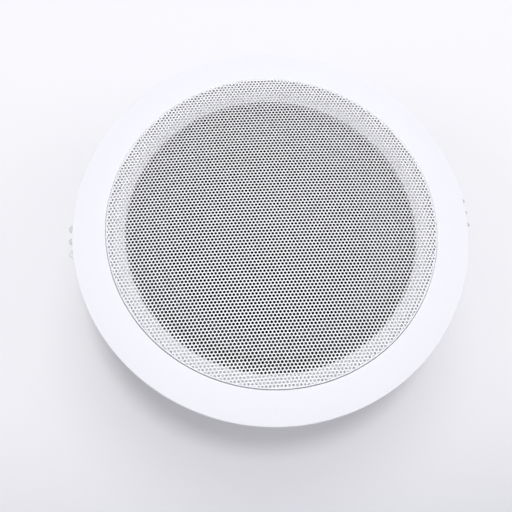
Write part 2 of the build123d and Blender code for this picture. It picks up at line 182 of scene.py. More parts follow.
def rubberRoll(name, pale, dark):
    f = Finish(name)
    dust = f.noise(9, 4, 0.6)
    ridges = f.waves(f.fromAxis(), 0.9)
    colour = f.mix(f.clear(dust, 0.45, 0.75), dark, pale)
    skin = f.bump(ridges + 2 * f.noise(0.4, 2), 0.01)
    return f.close(colour, 0.5 + 0.16 * dust, skin, Specular_IOR_Level=0.3)


# pressed paper pulp: long fibres and soft mottling
def paperPulp(name, pale, dark):
    f = Finish(name)
    fibre = f.noise(0.9, 6, 0.72, f.stretched((1.0, 0.35, 0.7)))
    cross = f.noise(0.9, 6, 0.72, f.stretched((0.35, 1.0, 0.7)))
    strands = f.clear(fibre, 0.5, 0.66) + f.clear(cross, 0.52, 0.68)
    colour = f.mix(0.5 * strands, dark, pale)
    relief = f.bump(strands + f.noise(5, 3), 0.03)
    return f.close(colour, 0.9 - 0.12 * strands, relief, Specular_IOR_Level=0.15)


def clearFilm(name, pale, dark):
    f = Finish(name)
    streak = f.noise(1.2, 3, 0.5, f.stretched((1.0, 1.0, 0.15)))
    return f.close(f.mix(streak, dark, pale), 0.24 + 0.12 * streak, None, Coat_Weight=0.4)


# enamelled winding: one wave along Z for each turn of wire; the colour is painted lighter on each crown
# and darker in the groove between turns, painted highlight and shade, over real tarnish
def windingWire(name, pale, dark, pitch):
    f = Finish(name)
    turn = 0.5 + 0.5 * f.waves(f.axis("Z"), pitch)
    tarnish = f.noise(2.5, 3)
    # painted shade in the grooves between turns, mixed with the real tarnish
    colour = f.mix(turn * (0.6 + 0.4 * tarnish), dark, pale)
    return f.close(colour, 0.26 + 0.14 * tarnish, f.bump(turn, 0.1), Metallic=1.0)


# resin-set cloth: a square weave
def wovenCloth(name, pale, dark, pitch):
    f = Finish(name)
    warp = f.waves(f.axis("X"), pitch)
    weft = f.waves(f.axis("Y"), pitch)
    weave = 0.5 + 0.5 * warp * weft
    colour = f.mix(weave * (0.55 + 0.45 * f.noise(3, 3)), dark, pale)
    return f.close(colour, 0.62 + 0.18 * weave, f.bump(weave, 0.08))


# zinc plate: fine crystal bloom, dull handling marks
def zincPlate(name, pale, dark, rough, grainLine=(1.0, 1.0, 1.0)):
    f = Finish(name)
    bloom = f.noise(6, 4, 0.6)
    brushed = f.noise(0.5, 3, 0.6, f.stretched(grainLine))
    marks = f.clear(f.noise(14, 5, 0.65), 0.48, 0.72)
    colour = f.mix(0.55 * bloom + 0.35 * brushed, dark, pale)
    return f.close(colour, rough + 0.12 * marks + 0.08 * brushed, f.bump(brushed, 0.006), Metallic=1.0)


# turned plate: fine tool rings about the axis
def turnedSteel(name, pale, dark, pitch):
    f = Finish(name)
    ripple = f.noise(2.2, 3)
    rings = 0.5 + 0.5 * f.waves(f.fromAxis() + 0.0002 * ripple, pitch)
    bloom = f.clear(f.noise(11, 4, 0.6), 0.35, 0.75)
    colour = f.mix(0.35 * rings + 0.5 * bloom, dark, pale)
    return f.close(colour, 0.3 + 0.12 * bloom + 0.05 * rings, f.bump(rings, 0.01), Metallic=1.0)


def ferriteCeramic(name, pale, dark):
    f = Finish(name)
    grit = f.noise(0.35, 3, 0.7)
    stain = f.clear(f.noise(16, 4, 0.6), 0.4, 0.8)
    fleck = f.clear(f.cells(1.1), 0.12, 0.02)
    colour = f.mix(0.45 * grit + 0.35 * stain + 0.25 * fleck, dark, pale)
    return f.close(colour, 0.58 + 0.2 * grit - 0.1 * stain, f.bump(grit, 0.03))


def drawnWire(name, pale, dark):
    f = Finish(name)
    drawn = f.noise(1.5, 4, 0.6)
    return f.close(f.mix(drawn, dark, pale), 0.2 + 0.16 * drawn, f.bump(drawn, 0.008), Metallic=1.0)


# braided flexible lead
def braidedLead(name, pale, dark, pitch):
    f = Finish(name)
    ply = f.waves(f.axis("Y") + 0.7 * f.axis("X"), pitch)
    other = f.waves(f.axis("Y") - 0.7 * f.axis("X"), pitch)
    braid = 0.5 + 0.5 * ply * other
    return f.close(f.mix(braid, dark, pale), 0.38 + 0.2 * braid, f.bump(braid, 0.08), Metallic=0.8)


finishes = {
    "white_plastic": mouldedPlastic("whitePlastic", (0.88, 0.885, 0.93), (0.865, 0.87, 0.92), 0.52),
    "white_steel": powderCoat("whitePowder", (0.9, 0.905, 0.94), (0.885, 0.89, 0.93), 0.5),
    "black_foam": foamSheet("gasketFoam", (0.045, 0.045, 0.047), (0.008, 0.008, 0.009)),
    "black_steel": powderCoat("basketPaint", (0.026, 0.026, 0.028), (0.016, 0.016, 0.018), 0.4, 1.6, 0.03),
    "black_rubber": rubberRoll("rubberRoll", (0.03, 0.03, 0.031), (0.013, 0.013, 0.014)),
    "black_pulp": paperPulp("paperPulp", (0.036, 0.035, 0.034), (0.009, 0.009, 0.009)),
    "brown_film": clearFilm("formerFilm", (0.42, 0.16, 0.035), (0.26, 0.085, 0.015)),
    "copper": windingWire("copperWinding", (0.76, 0.34, 0.16), (0.3, 0.1, 0.04), 0.45),
    "tan_cloth": wovenCloth("spiderCloth", (0.6, 0.4, 0.17), (0.32, 0.19, 0.07), 0.9),
    "zinc_steel": zincPlate("zincPlate", (0.45, 0.45, 0.445), (0.28, 0.29, 0.3), 0.36),
    "ferrite": ferriteCeramic("ferriteCeramic", (0.1, 0.1, 0.104), (0.026, 0.026, 0.028)),
    "black_plastic": mouldedPlastic("blackMoulding", (0.028, 0.028, 0.03), (0.02, 0.02, 0.021), 0.42),
    "red_plastic": mouldedPlastic("redMoulding", (0.58, 0.02, 0.014), (0.5, 0.014, 0.01), 0.36),
    "tag_brass": zincPlate("brassTag", (0.86, 0.65, 0.29), (0.62, 0.42, 0.15), 0.24, (1.0, 0.1, 1.0)),
    "rivet_metal": drawnWire("rivetMetal", (0.82, 0.82, 0.83), (0.6, 0.6, 0.62)),
}
punchedSteel = punchedSheet(
    "punchedSteel", (0.955, 0.957, 0.975), (0.94, 0.943, 0.965), (0.8, 0.8, 0.81), 0.5,
)
springSteel = drawnWire("springSteel", (0.56, 0.56, 0.58), (0.3, 0.3, 0.33))
plateSteel = turnedSteel("plateSteel", (0.66, 0.64, 0.58), (0.42, 0.41, 0.38), 0.7)
tinselBraid = braidedLead("tinselBraid", (0.78, 0.55, 0.33), (0.34, 0.2, 0.09), 1.1)
print("finishes mixed:", len(bpy.data.materials))


# shapes are worked out in mm and shrunk to metres when a piece is finished
def cleaned(mesh):
    shape = bmesh.new()
    shape.from_mesh(mesh)
    bmesh.ops.remove_doubles(shape, verts=shape.verts, dist=weldGap)
    bmesh.ops.dissolve_degenerate(shape, edges=shape.edges, dist=weldGap)
    bmesh.ops.recalc_face_normals(shape, faces=shape.faces)
    shape.to_mesh(mesh)
    shape.free()
    return mesh


def solid(points, faces):
    mesh = bpy.data.meshes.new("work")
    mesh.from_pydata([tuple(point) for point in points], [], faces)
    return cleaned(mesh)


# corners given as (x, y, radius) become arcs
def rounded(outline, steps=4, closed=True):
    out = []
    for n, (x, y, *radius) in enumerate(outline):
        inner = 0 < n < len(outline) - 1
        if not radius or not (closed or inner):
            out.append((x, y))
            continue
        here = Vector((x, y))
        back = Vector(outline[n - 1][:2]) - here
        ahead = Vector(outline[(n + 1) % len(outline)][:2]) - here
        half = back.angle(ahead) / 2
        reach = min(radius[0] / tan(half), arcShare * back.length, arcShare * ahead.length)
        bend = reach * tan(half)
        middle = here + (back.normalized() + ahead.normalized()).normalized() * (bend / sin(half))
        first = here + back.normalized() * reach - middle
        last = here + ahead.normalized() * reach - middle
        begin = atan2(first.y, first.x)
        turn = (atan2(last.y, last.x) - begin + pi) % (2 * pi) - pi
        for k in range(steps + 1):
            angle = begin + turn * k / steps
            out.append((middle.x + bend * cos(angle), middle.y + bend * sin(angle)))
    return out


# a line of points given a thickness on its left
def sheetOutline(line, thickness):
    points = [Vector(point) for point in line]
    sides = []
    for a, b in zip(points, points[1:]):
        run = (b - a).normalized()
        sides.append(Vector((-run.y, run.x)))
    left = []
    for point, m, n in zip(points, sides[:1] + sides, sides + sides[-1:]):
        left.append(point + (m + n) * (thickness / (1 + m.dot(n))))
    return [tuple(point) for point in points + left[::-1]]


def ringOf(count, start=0.0):
    return [start + 2 * pi * n / count for n in range(count)]


def around(radius, angle):
    return radius * cos(angle), radius * sin(angle)


# skin over a row of sections with as many points each; open ends are closed flat
def swept(points, size, closed=False):
    count = len(points) // size
    faces = []
    for c in range(count if closed else count - 1):
        here, there = c * size, (c + 1) % count * size
        for k in range(size):
            j = (k + 1) % size
            faces.append((here + k, there + k, there + j, here + j))
    if not closed:
        faces += [tuple(range(size)), tuple(range(count * size - 1, (count - 1) * size - 1, -1))]
    return solid(points, faces)


# closed profile of (radius, height) turned about Z; it may change with the angle
def lathe(profile, turns=192, closed=True):
    angles = turns if isinstance(turns, list) else ringOf(turns)
    section = profile if callable(profile) else (lambda angle: profile)
    points = [(*around(r, a), z) for a in angles for r, z in section(a)]
    return swept(points, len(section(0.0)), closed)


# round wire along points
def wire(path, radius, sides=10):
    path = [Vector(point) for point in path]
    runs = [(b - a).normalized() for a, b in zip(path, path[1:])]
    ahead = [(a + b).normalized() for a, b in zip(runs[:1] + runs, runs + runs[-1:])]
    side = ahead[0].orthogonal().normalized()
    points = []
    for here, run in zip(path, ahead):
        side = (side - run * side.dot(run)).normalized()
        up = run.cross(side)
        points += [here + radius * (side * cos(a) + up * sin(a)) for a in ringOf(sides)]
    return swept(points, sides)


# flat outlines, the first with the rest as holes in it, given depth and softened edges
def stamped(outlines, bottom, top, edge=0.0):
    curve = bpy.data.curves.new("work", "CURVE")
    curve.dimensions = "2D"
    curve.fill_mode = "BOTH"
    curve.extrude = (top - bottom) / 2 - edge
    curve.bevel_depth = edge
    curve.bevel_resolution = 1
    curve.offset = -edge
    for outline in outlines:
        spline = curve.splines.new("POLY")
        spline.points.add(len(outline) - 1)
        for point, (x, y) in zip(spline.points, outline):
            point.co = (x, y, 0.0, 1.0)
        spline.use_cyclic_u = True
    holder = bpy.data.objects.new("work", curve)
    mesh = bpy.data.meshes.new_from_object(holder)
    bpy.data.objects.remove(holder)
    mesh.transform(Matrix.Translation((0, 0, (bottom + top) / 2)))
    return cleaned(mesh)


def circle(radius, x=0.0, y=0.0, sides=28):
    return [(x + radius * cos(a), y + radius * sin(a)) for a in ringOf(sides)]


def roundedBox(x0, y0, x1, y1, radius):
    return rounded([(x0, y0, radius), (x1, y0, radius), (x1, y1, radius), (x0, y1, radius)])


# outline round a set of points
def hull(points):
    points = sorted(set(points))

    def chain(ordered):
        out = []
        for p in ordered:
            while len(out) > 1 and (
                (out[-1][0] - out[-2][0]) * (p[1] - out[-2][1])
                - (out[-1][1] - out[-2][1]) * (p[0] - out[-2][0])
            ) <= 0:
                out.pop()
            out.append(p)
        return out[:-1]

    return chain(points) + chain(points[::-1])


def placed(mesh, *steps):
    copy = mesh.copy()
    for step in steps:
        copy.transform(step)
    return copy


def linked(name, data):
    thing = bpy.data.objects.new(name, data)
    scene.collection.objects.link(thing)
    return thing


# one shape joined with others, or cut by them
def combined(base, tools, operation="UNION"):
    holder = linked("work", base)
    helpers = [linked("work", tool) for tool in tools]
    for helper in helpers:
        step = holder.modifiers.new("step", "BOOLEAN")
        step.operation = operation
        step.solver = "EXACT"
        step.object = helper
    bpy.context.view_layer.update()
    mesh = bpy.data.meshes.new_from_object(holder.evaluated_get(bpy.context.evaluated_depsgraph_get()))
    for helper in [*helpers, holder]:
        bpy.data.objects.remove(helper)
    return cleaned(mesh)


# hands a finished shape to its body; for a tuple (a, b, start, end) between two bodies only its transform is
# baked in
def piece(name, mesh, body, slot, *nodes, finish=None, crease=32):
    mesh.transform(Matrix.Scale(mm, 4))
    mesh.name = name
    mesh.materials.clear()
    mesh.materials.append(finish or finishes[slot])
    mesh.polygons.foreach_set("use_smooth", [True] * len(mesh.polygons))
    mesh.set_sharp_from_angle(angle=radians(crease))
    thing = linked(name, mesh)
    if isinstance(body, tuple):
        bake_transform(thing)
    else:
        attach(thing, body)
    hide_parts(*nodes)
    return thing


upright = Matrix.Rotation(pi / 2, 4, "X")  # an outline in X and Z, with its depth along Y
acrossX = Matrix.Rotation(pi / 2, 4, "Z") @ upright  # an outline in Y and Z, with its depth along X
bothSides = {"right": Matrix.Identity(4), "left": Matrix.Rotation(pi, 4, "Z")}

# bezel: rim, grille seat, ledge and neck in one turned moulding
bezel = {  # lines of (radius, height, rounding)
    "rim": [(100.0, 0.0, 0.3), (100.0, 2.6, 0.5)],
    "lip": [(83.4, 3.9, 0.35), (83.4, -0.6)],
    "seat": [(81.6, -0.6, 0.2), (81.6, -5.0, 2.1)],
    "ledge": [(75.0, -5.0, 0.5), (75.0, -9.5, 0.5)],
    "neck": [(84.1, -9.5, 0.4), (84.1, -13.5, 0.6), (86.5, -13.5, 0.6), (86.5, 0.0, 0.4)],
    "pocketInner": 88.9, "pocketOuter": 97.6, "pocketDepth": 1.2, "pocketDraft": 0.2,
    "ribCount": 12, "ribWidth": 1.6, "pocketColumns": 20,
}


def bezelRing(b):
    front = rounded([
        *b["rim"], *b["lip"], *b["seat"], *b["ledge"], *b["neck"],
        (b["pocketInner"], 0.0), (b["pocketOuter"], 0.0),
    ], 6)
    middle = (b["pocketInner"] + b["pocketOuter"]) / 2
    half = b["ribWidth"] / 2 / middle
    slope = b["pocketDraft"] / middle
    pocket = {}
    for n in range(b["ribCount"]):
        centre = 2 * pi * n / b["ribCount"]
        first, last = centre + half + slope, centre + 2 * pi / b["ribCount"] - half - slope
        for k in range(b["pocketColumns"] + 1):
            pocket[first + (last - first) * k / b["pocketColumns"]] = b["pocketDepth"]
        pocket.update({centre - half: 0.0, centre: 0.0, centre + half: 0.0})

    def section(angle):
        depth = pocket.get(angle, 0.0)
        low, high = b["pocketInner"] + b["pocketDraft"], b["pocketOuter"] - b["pocketDraft"]
        return front[:-1] + [(low, depth), (high, depth), front[-1]]

    return lathe(section, sorted(pocket))


piece("bezel_ring", bezelRing(bezel), "housing", "white_plastic", "bezel")

# towers behind the ledge that carry the spring clips
tower = {
    "back": 72.6, "face": 75.0, "front": 81.0, "reach": 84.7, "half": 12.6,
    "foot": -42.0, "top": -13.4, "lid": -15.8, "root": -8.4,
    "stopInner": 82.7, "stopFoot": -17.725,
    "earInner": 9.6, "earRound": 4.6, "earSink": 0.2, "pinHole": 1.5, "edge": 0.35,
    "footRound": 2.5, "slabRound": 0.5, "lap": 0.1, "stopLap": 0.4, "hair": 0.04,
}
pivot = (79.5, -31.0)  # hinge of a clip, in X and Z


def clipTower(t):
    half, edge, sink, hair, soft = t["half"], t["edge"], t["earSink"], t["hair"], t["slabRound"]
    ear = hull(circle(t["earRound"], *pivot, 40) + [
        (t["back"] + sink, t["lid"]), (t["back"] + sink, t["top"] - sink),
        (t["front"], t["top"] - sink), (t["front"], t["lid"]),
    ])
    earOuter = half - hair / 2
    ears = stamped([ear, circle(t["pinHole"], *pivot)], t["earInner"], earOuter, edge)
    wall = rounded([
        (-half, t["foot"], t["footRound"]), (half, t["foot"], t["footRound"]),
        (half, t["top"], soft), (-half, t["top"], soft),
    ])
    # each block is a hair smaller than the last, so that no two faces lie in one plane
    slabs = [
        (t["back"] + t["lap"], half - hair, t["reach"] - hair, t["lid"], t["top"] - hair),
        (t["front"], half - 2 * hair, t["reach"] - 2 * hair, t["lid"] + t["lap"], t["root"]),
        (t["stopInner"], half - 3 * hair, t["reach"] - 3 * hair, t["stopFoot"], t["top"] - t["stopLap"]),
    ]
    parts = [
        placed(stamped([wall], t["back"], t["face"], edge), acrossX),
        *(stamped([roundedBox(x0, -y, x1, y, soft)], z0, z1, edge) for x0, y, x1, z0, z1 in slabs),
        placed(ears, upright),
        placed(ears, upright, Matrix.Translation((0, earOuter + t["earInner"], 0))),
    ]
    return combined(parts[0], parts[1:])


for side, turn in bothSides.items():
    piece(f"{side}_tower", placed(clipTower(tower), turn), "housing", "white_plastic", "bezel")
print("bezel and towers done")

# grille: domed perforated sheet with a rolled edge and a skirt
grille = {
    "reach": 83.1, "edgeLevel": 4.4, "rise": 4.9, "thickness": 0.7, "skirtEnd": -0.5, "roll": 0.5,
    "pitch": 1.81, "holeCorner": 0.785, "edgeCorner": 0.7, "taper": 5.0, "patternTurn": -1.6,
    "sheet": 0.35, "sheetReach": 82.65, "innerPart": 72.0,
}


def domeLevel(g, radius):
    sphere = (g["reach"] ** 2 + g["rise"] ** 2) / (2 * g["rise"])
    return g["edgeLevel"] + g["rise"] - sphere + sqrt(sphere ** 2 - radius ** 2)


# each hole is six-sided; flats face the six neighbours, so strips and small triangles fill the rest;
# the pressed border draws its holes a little tighter
def perforatedSheet(g):
    pitch = g["pitch"]
    row = pitch * sqrt(0.75)
    rows = int(g["sheetReach"] / row) + 2
    cells = {}
    for j in range(-rows, rows + 1):
        for i in range(-rows - 8, rows + 9):
            x, y = (i + 0.5 * (j % 2)) * pitch, j * row
            if hypot(x, y) < g["sheetReach"] + 0.8 * pitch:
                cells[i, j] = (x, y)
    swing = radians(g["patternTurn"])
    corners = [(cos(a), sin(a)) for a in ringOf(6, pi / 6)]
    behind = len(corners)  # from a point of the face to the one on the back
    points, held, first = [], [], {}
    for key, (x, y) in cells.items():
        first[key] = len(points)
        border = min(1.0, max(0.0, (hypot(x, y) - g["innerPart"]) / g["taper"]))
        size = g["holeCorner"] + (g["edgeCorner"] - g["holeCorner"]) * border
        for under in (0.0, g["sheet"]):
            for dx, dy in corners:
                px, py = x + size * dx, y + size * dy
                px, py = px * cos(swing) - py * sin(swing), px * sin(swing) + py * cos(swing)
                far = hypot(px, py)
                trim = min(1.0, g["sheetReach"] / far)
                points.append((px * trim, py * trim, domeLevel(g, far * trim) - under))
                held.append(far > g["sheetReach"])
    # strips and triangles from one hole (0) to its east (1), north-east (2) and north-west (3), with corners
    webs = [
        ((0, 0), (0, 5), (1, 3), (1, 2)), ((0, 1), (0, 0), (2, 4), (2, 3)), ((0, 2), (0, 1), (3, 5), (3, 4)),
        ((0, 0), (1, 2), (2, 4)), ((0, 1), (2, 3), (3, 5)),
    ]
    parts = {True: [], False: []}
    for (i, j), (x, y) in cells.items():
        odd = j % 2
        start = [first.get(key) for key in ((i, j), (i + 1, j), (i + odd, j + 1), (i - 1 + odd, j + 1))]
        inner = hypot(x, y) < g["innerPart"]
        for web in webs:
            if all(start[hole] is not None for hole, corner in web):
                face = tuple(start[hole] + corner for hole, corner in web)
                if not all(held[n] for n in face):
                    parts[inner].append(face)
    meshes = []
    for flat in parts.values():
        # every free edge of the face side gets a wall down to the back
        runs = {run for face in flat for run in zip(face, face[1:] + face[:1])}
        faces = flat + [tuple(n + behind for n in reversed(face)) for face in flat]
        faces += [(b, a, a + behind, b + behind) for a, b in sorted(runs) if (b, a) not in runs]
        used = sorted({n for face in faces for n in face})
        place = {n: k for k, n in enumerate(used)}
        mesh = bpy.data.meshes.new("work")
        mesh.from_pydata([points[n] for n in used], [], [tuple(place[n] for n in face) for face in faces])
        meshes.append(mesh)
    return meshes


def grilleEdge(g):
    start = g["reach"] - g["roll"]
    top = domeLevel(g, start)
    inner = g["reach"] - g["thickness"]
    outline = rounded([
        (start, top), (g["reach"], top, g["roll"]), (g["reach"], g["skirtEnd"], 0.2),
        (inner, g["skirtEnd"], 0.2), (inner, top - g["thickness"]), (start, top - g["thickness"]),
    ], 6)
    return lathe(outline, 288)


grilleInner, grilleOuter = perforatedSheet(grille)
piece("grille_sheet", grilleInner, "housing", "white_steel", "grille", finish=punchedSteel)
piece("grille_border", grilleOuter, "housing", "white_steel", "grille", finish=punchedSteel)
piece("grille_edge", grilleEdge(grille), "housing", "white_steel", "grille")
print("grille done:", len(grilleInner.polygons) + len(grilleOuter.polygons), "faces")

# gasket and driver screws on the back of the ledge
screw = {  # lines of (radius, height, rounding)
    "crown": [(0.0, -14.4), (1.2, -14.4), (2.5, -14.05, 1.2)],
    "head": [(3.2, -13.05, 0.6), (3.2, -12.2, 0.2)],
    "shank": [(1.75, -12.2), (1.75, -6.1, 0.5), (0.0, -6.1)],
    "slotReach": 1.75, "slotHalf": 0.36, "slotCut": (-14.9, -13.1),
    "count": 4, "circle": 77.2, "firstTurn": 0.4, "nextTurn": 1.1,
}
gasket = {"outer": 80.5, "inner": 74.9, "bottom": -11.0, "top": -9.5, "hole": 2.15, "edge": 0.25}
screwPlaces = [around(screw["circle"], a) for a in ringOf(screw["count"], pi / screw["count"])]


def driverScrew(s):
    body = lathe(rounded([*s["crown"], *s["head"], *s["shank"]]), 32)
    w, r = s["slotHalf"], s["slotReach"]
    cross = [
        (r, -w), (r, w), (w, w), (w, r), (-w, r), (-w, w),
        (-r, w), (-r, -w), (-w, -w), (-w, -r), (w, -r), (w, -w),
    ]
    return combined(body, [stamped([cross], *s["slotCut"])], "DIFFERENCE")


rings = [circle(gasket["outer"], sides=180), circle(gasket["inner"], sides=180)]
rings += [circle(gasket["hole"], x, y) for x, y in screwPlaces]
foam = stamped(rings, gasket["bottom"], gasket["top"], gasket["edge"])
piece("foam_gasket", foam, "housing", "black_foam", "gasket")
oneScrew = driverScrew(screw)
for n, (x, y) in enumerate(screwPlaces):
    turn = Matrix.Rotation(screw["firstTurn"] + screw["nextTurn"] * n, 4, "Z")
    spot = Matrix.Translation((x, y, 0))
    piece(f"driver_screw_{n + 1}", placed(oneScrew, turn, spot), "housing", "zinc_steel", "driver_screws")

# pressed basket: flange, step, four legs, shelf and cup
basket = {
    "line": [
        (80.5, -11.0), (70.0, -11.0, 1.4), (70.0, -17.0, 2.6), (43.5, -38.0, 3.0), (33.0, -38.0, 2.0),
        (33.0, -45.8, 2.2), (17.0, -45.8),
    ],
    "sheet": 1.2, "windowOuter": 67.5, "windowInner": 46.0, "legHalf": 7.0, "windowRound": 3.5,
    "windowCut": (-44.0, -14.0), "windowSteps": 24, "screwHole": 2.15, "flangeCut": (-13.5, -10.0),
    "beadInner": 45.0, "beadOuter": 64.5, "beadHalf": 3.2, "beadDepth": 1.1, "beadEase": 3.0,
    "legFaces": (0.62, 0.78),  # a leg's upper side faces inwards and up by these shares
}


def basketFrame(b):
    outline = sheetOutline(rounded(b["line"], 5, False), b["sheet"])
    body = lathe(outline, 360)
    # a pressed bead stiffens every leg but the one with the terminal
    low, high, ease = b["beadInner"], b["beadOuter"], b["beadEase"]
    inwards, upwards = b["legFaces"]
    for point in body.vertices:
        x, y, z = point.co
        radius = hypot(x, y)
        across = min(abs(x) if y < 0 else radius, abs(y))
        if across < b["beadHalf"] and low < radius < high:
            ends = min(1.0, (radius - low) / ease, (high - radius) / ease)
            push = b["beadDepth"] * ends * (0.5 + 0.5 * cos(pi * across / b["beadHalf"]))
            shrink = 1 - inwards * push / radius
            point.co = (x * shrink, y * shrink, z + upwards * push)
    cuts = []
    steps = b["windowSteps"]
    for quarter in range(4):
        outer = []
        for radius, order in ((b["windowOuter"], 1), (b["windowInner"], -1)):
            start = asin(b["legHalf"] / radius)
            span = [start + (pi / 2 - 2 * start) * k / steps for k in range(steps + 1)]
            arc = [around(radius, a) for a in span[::order]]
            # the points next to each end make room for its rounded corner
            outer += [(*arc[0], b["windowRound"]), *arc[3:-3], (*arc[-1], b["windowRound"])]
        window = stamped([rounded(outer, 6)], *b["windowCut"])
        cuts.append(placed(window, Matrix.Rotation(pi / 2 * quarter, 4, "Z")))
    for x, y in screwPlaces:
        cuts.append(stamped([circle(b["screwHole"], x, y)], *b["flangeCut"]))
    return combined(body, cuts, "DIFFERENCE")


piece("basket_frame", basketFrame(basket), "housing", "black_steel", "basket", crease=40)
print("basket done")

# cone, dust cap, coil: what moves with the sound
cone = {
    "neck": 12.65, "neckTop": -33.0, "edge": 54.0, "edgeLevel": -11.0, "reach": 58.0,
    "thickness": 0.8, "drop": 0.906,
}
cap = {"reach": 19.0, "rise": 6.5, "thickness": 0.6, "gap": 0.05, "steps": 18}
coil = {
    "outer": 13.2, "inner": 12.65, "bottom": -54.5, "top": -44.5, "turns": 22, "ripple": 0.12,
    "formerInner": 12.4, "formerTop": -32.0,
}


def coneLevel(c, radius):
    return c["neckTop"] + (radius - c["neck"]) * (c["edgeLevel"] - c["neckTop"]) / (c["edge"] - c["neck"])


def paperCone(c):
    back = c["edgeLevel"] - c["thickness"]
    run = (c["edge"] - c["neck"]) / (c["edgeLevel"] - c["neckTop"])
    turnBack = c["neck"] + (back - c["neckTop"] + c["drop"]) * run
    return lathe(rounded([
        (c["neck"], c["neckTop"]), (c["edge"], c["edgeLevel"], 2.0), (c["reach"], c["edgeLevel"]),
        (c["reach"], back), (turnBack, back, 1.6), (c["neck"], c["neckTop"] - c["drop"]),
    ]))


def dustCap(d, base):
    def crown(radius, rise):
        shares = [1 - n / d["steps"] for n in range(d["steps"] + 1)]
        return [(radius * share, base + rise * (1 - share ** 2)) for share in shares]

    outer = crown(d["reach"], d["rise"])
    inner = crown(d["reach"] - d["thickness"], d["rise"] - d["thickness"])
    return lathe(outer + inner[::-1], 96)


def woundCoil(c):
    height = (c["top"] - c["bottom"]) / c["turns"]
    winding = []
    for k in range(2 * c["turns"] + 1):
        dip = 0.0 if k % 2 else c["ripple"]
        winding.append((c["outer"] - dip, c["bottom"] + height * k / 2))
    return lathe([(c["inner"], c["bottom"]), *winding, (c["inner"], c["top"])], 72)


def former(c):
    return lathe([
        (c["inner"], c["bottom"]), (c["inner"], c["formerTop"]), (c["formerInner"], c["formerTop"]),
        (c["formerInner"], c["bottom"]),
    ], 72)


capBase = coneLevel(cone, cap["reach"]) + cap["gap"]
piece("paper_cone", paperCone(cone), "cone_assembly", "black_pulp", "cone")
piece("dust_dome", dustCap(cap, capBase), "cone_assembly", "black_pulp", "dust_cap")
piece("coil_winding", woundCoil(coil), "cone_assembly", "copper", "voice_coil", crease=60)
piece("coil_tube", former(coil), "cone_assembly", "brown_film", "voice_coil_former")

# surround and spider flex between the frame and the cone;
# they are cut in sectors, each with its own middle direction
flex = {"sectors": 12, "columns": 16}
surround = {
    "inner": 54.0, "rollCentre": 63.6, "roll": 5.6, "outer": 73.7, "level": -11.0, "thickness": 0.8,
    "held": 65.6, "moved": 60.2, "steps": 16,
}
spider = {
    "inner": 12.65, "collar": 15.05, "waveEnd": 31.5, "outer": 43.0, "level": -38.0, "thickness": 0.5,
    "waves": 4, "height": 1.15, "ease": 6, "held": 29.5, "moved": 16.6, "steps": 64,
}


def surroundOutline(s):
    turns = [pi - pi * n / s["steps"] for n in range(s["steps"] + 1)]
    roll = [(s["rollCentre"] + s["roll"] * cos(a), s["level"] + s["roll"] * sin(a)) for a in turns]
    return sheetOutline([(s["inner"], s["level"]), *roll, (s["outer"], s["level"])], s["thickness"])


def spiderOutline(s):
    span = s["waveEnd"] - s["collar"]
    line = [(s["inner"], s["level"])]
    for n in range(s["steps"] + 1):
        share = n / s["steps"]
        swell = min(1.0, s["ease"] * share, s["ease"] * (1 - share))
        wave = s["height"] * swell * sin(2 * pi * s["waves"] * share)
        line.append((s["collar"] + span * share, s["level"] + wave))
    return sheetOutline(line + [(s["outer"], s["level"])], s["thickness"])


def flexing(name, outline, s, slot, node):
    width = 2 * pi / flex["sectors"]
    for n in range(flex["sectors"]):
        middle = width * (n + 0.5)
        angles = [middle + width * (k / flex["columns"] - 0.5) for k in range(flex["columns"] + 1)]
        way = Vector((cos(middle), sin(middle), 0))
        bends = ("housing", "cone_assembly", way * s["held"], way * s["moved"])
        piece(f"{name}_{n + 1:02d}", lathe(outline, angles, False), bends, slot, node)


flexing("surround_roll", surroundOutline(surround), surround, "black_rubber", "surround")
flexing("spider_cloth", spiderOutline(spider), spider, "tan_cloth", "spider")
print("moving parts of the driver done")

# magnet system
motor = {
    "hole": 13.6, "plate": 40.0, "top": -47.0, "under": -52.0, "soft": 0.5,
    "magnet": 45.0, "magnetHole": 22.0, "magnetEnd": -64.0, "chamfer": 0.9,
}
yoke = {  # lines of (radius, height, rounding)
    "back": [(0.0, -67.4), (3.0, -68.5, 0.2)],
    "groove": [(26.0, -68.5), (26.4, -68.15), (26.8, -68.5)],
    "plate": [(40.0, -68.5, 0.9), (40.0, -64.0, 0.4)],
    "pole": [(12.0, -64.0), (12.0, -46.5, 0.5), (0.0, -46.5)],
}


def turnedRing(inner, outer, bottom, top, soft):
    outline = [(inner, bottom, soft), (outer, bottom, soft), (outer, top, soft), (inner, top, soft)]
    return lathe(rounded(outline, 2), 160)


def turnedYoke(y):
    return lathe(rounded([*y["back"], *y["groove"], *y["plate"], *y["pole"]], 2), 160)


topPlate = turnedRing(motor["hole"], motor["plate"], motor["under"], motor["top"], motor["soft"])
piece("top_plate_ring", topPlate, "housing", "zinc_steel", "top_plate", finish=plateSteel)
magnet = turnedRing(
    motor["magnetHole"], motor["magnet"], motor["magnetEnd"], motor["under"], motor["chamfer"],
)
piece("magnet_ring", magnet, "housing", "ferrite", "magnet")
piece("yoke_plate", turnedYoke(yoke), "housing", "zinc_steel", "yoke", finish=plateSteel)
print("magnet system done")

